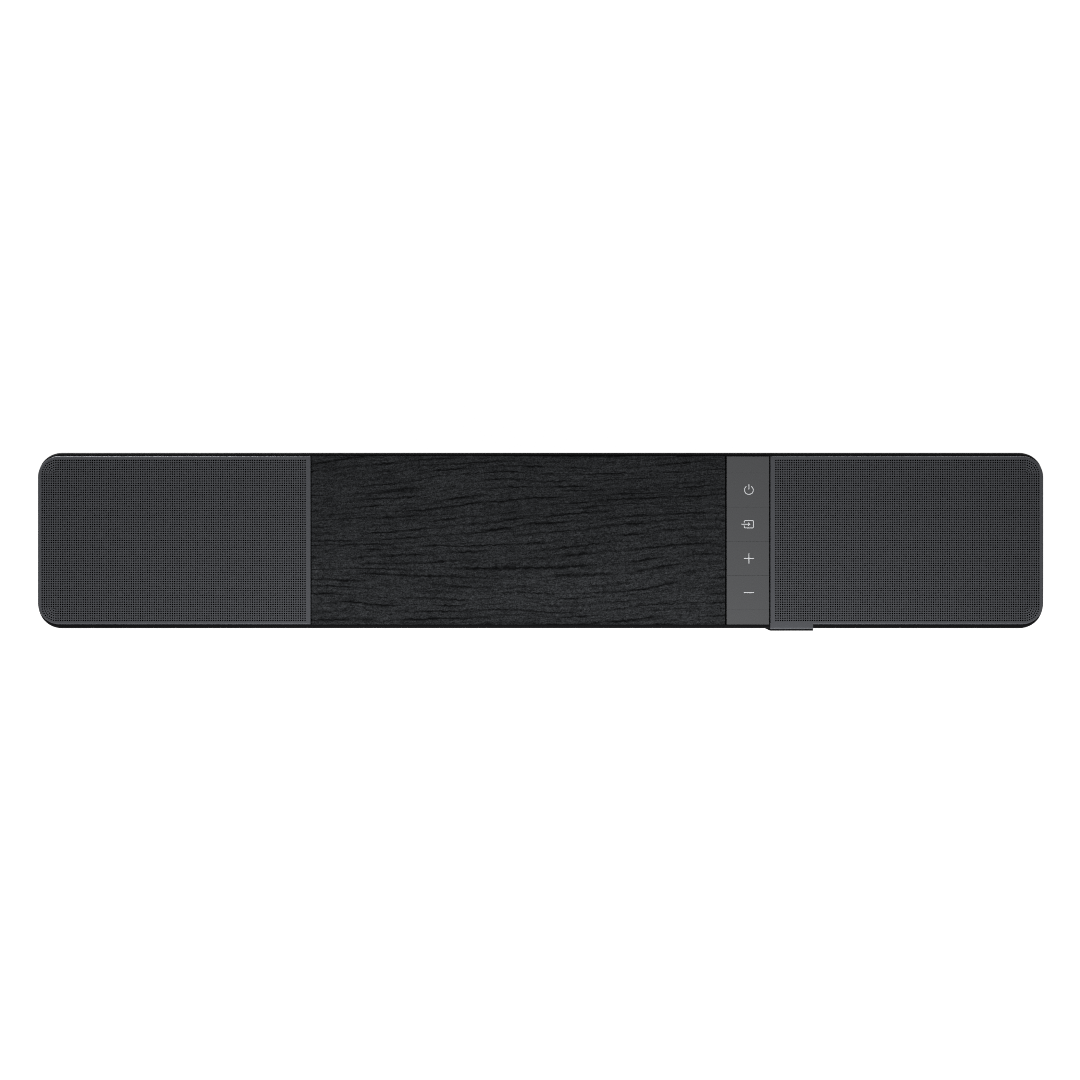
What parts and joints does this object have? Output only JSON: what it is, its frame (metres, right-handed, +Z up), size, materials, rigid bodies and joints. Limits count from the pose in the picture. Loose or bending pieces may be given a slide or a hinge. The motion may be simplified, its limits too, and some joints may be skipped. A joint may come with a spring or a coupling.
{
  "type": "soundbar",
  "caption": "Low soundbar with perforated metal top grilles, a dark wood panel, a strip of press keys, a front grille and a rear connector bay.",
  "frame": {"origin": "on the table under the centre of the whole footprint, at the underside of the feet", "axes": "+X to the listener's right along the length, +Y to the rear, +Z up"},
  "size_m": [0.7112, 0.126, 0.078],
  "materials": {
    "case_plastic": "fine texture",
    "panel_metal": "satin",
    "wood_veneer": "open grain, dark stain",
    "core_board": "raw",
    "speaker_steel": "semi-gloss",
    "magnet": "plain",
    "cone": "pressed",
    "soft_rubber": "matt",
    "spider_cloth": "woven",
    "circuit_board": "solder mask",
    "chip_plastic": "moulded",
    "aluminium": "extruded",
    "wound_core": "varnished",
    "socket_steel": "plated",
    "gold_plate": "plated",
    "window_plastic": "gloss",
    "screw_steel": "black",
    "wire_plastic": "smooth",
    "wadding": "felted"
  },
  "bodies": {
    "soundbar": {"board_screws": "screw_steel", "bottom_case": "case_plastic", "bracket_inserts": "gold_plate", "capacitors": "aluminium", "case_screws": "screw_steel", "connector_panel": "case_plastic", "control_strip": "panel_metal", "damping_pads": "wadding", "display_board": "circuit_board", "display_window": "window_plastic", "front_baffle": "case_plastic", "front_grille": "panel_metal", "front_speaker_screws": "screw_steel", "hdmi_socket": "socket_steel", "heat_sink": "aluminium", "inlet_pins": "gold_plate", "key_board": "circuit_board", "key_switches": "chip_plastic", "left_front_speaker_frame": "speaker_steel", "left_front_speaker_magnet": "magnet", "left_front_speaker_surround": "soft_rubber", "left_top_grille": "panel_metal", "left_woofer_frame": "speaker_steel", "left_woofer_magnet": "magnet", "left_woofer_spider": "spider_cloth", "left_woofer_surround": "soft_rubber", "line_in_socket": "chip_plastic", "main_board": "circuit_board", "main_board_chips": "chip_plastic", "power_board": "circuit_board", "power_inlet": "case_plastic", "power_key_pad": "soft_rubber", "right_front_speaker_frame": "speaker_steel", "right_front_speaker_magnet": "magnet", "right_front_speaker_surround": "soft_rubber", "right_top_grille": "panel_metal", "right_woofer_frame": "speaker_steel", "right_woofer_magnet": "magnet", "right_woofer_spider": "spider_cloth", "right_woofer_surround": "soft_rubber", "rubber_feet": "soft_rubber", "source_key_pad": "soft_rubber", "top_case": "case_plastic", "transformer": "wound_core", "usb_socket": "socket_steel", "volume_down_key_pad": "soft_rubber", "volume_up_key_pad": "soft_rubber", "wireless_module": "socket_steel", "wiring_harness": "wire_plastic", "wood_core": "core_board", "wood_veneer": "wood_veneer", "woofer_screws": "screw_steel"},
    "power_key": {"power_key": "panel_metal"},
    "source_key": {"source_key": "panel_metal"},
    "volume_up_key": {"volume_up_key": "panel_metal"},
    "volume_down_key": {"volume_down_key": "panel_metal"},
    "left_woofer_cone": {"left_woofer_cone": "cone"},
    "left_front_speaker_cone": {"left_front_speaker_cone": "cone"},
    "right_woofer_cone": {"right_woofer_cone": "cone"},
    "right_front_speaker_cone": {"right_front_speaker_cone": "cone"}
  },
  "joints": [
    {"name": "power_key_press", "type": "slide", "parent": "soundbar", "child": "power_key", "axis": [0, 0, -1], "range_m": [0, 0.0005], "stiffness_N_per_m": 3200, "deforming": ["power_key_pad"]},
    {"name": "source_key_press", "type": "slide", "parent": "soundbar", "child": "source_key", "axis": [0, 0, -1], "range_m": [0, 0.0005], "stiffness_N_per_m": 3200, "deforming": ["source_key_pad"]},
    {"name": "volume_up_key_press", "type": "slide", "parent": "soundbar", "child": "volume_up_key", "axis": [0, 0, -1], "range_m": [0, 0.0005], "stiffness_N_per_m": 3200, "deforming": ["volume_up_key_pad"]},
    {"name": "volume_down_key_press", "type": "slide", "parent": "soundbar", "child": "volume_down_key", "axis": [0, 0, -1], "range_m": [0, 0.0005], "stiffness_N_per_m": 3200, "deforming": ["volume_down_key_pad"]},
    {"name": "left_woofer_stroke", "type": "slide", "parent": "soundbar", "child": "left_woofer_cone", "axis": [0, 0, 1], "range_m": [-0.004, 0.004], "stiffness_N_per_m": 2300, "deforming": ["left_woofer_surround", "left_woofer_spider"]},
    {"name": "right_woofer_stroke", "type": "slide", "parent": "soundbar", "child": "right_woofer_cone", "axis": [0, 0, 1], "range_m": [-0.004, 0.004], "stiffness_N_per_m": 2300, "deforming": ["right_woofer_surround", "right_woofer_spider"]},
    {"name": "left_front_speaker_stroke", "type": "slide", "parent": "soundbar", "child": "left_front_speaker_cone", "axis": [0, -1, 0], "range_m": [-0.0025, 0.0025], "stiffness_N_per_m": 2000, "deforming": ["left_front_speaker_surround"]},
    {"name": "right_front_speaker_stroke", "type": "slide", "parent": "soundbar", "child": "right_front_speaker_cone", "axis": [0, -1, 0], "range_m": [-0.0025, 0.0025], "stiffness_N_per_m": 2000, "deforming": ["right_front_speaker_surround"]}
  ]
}
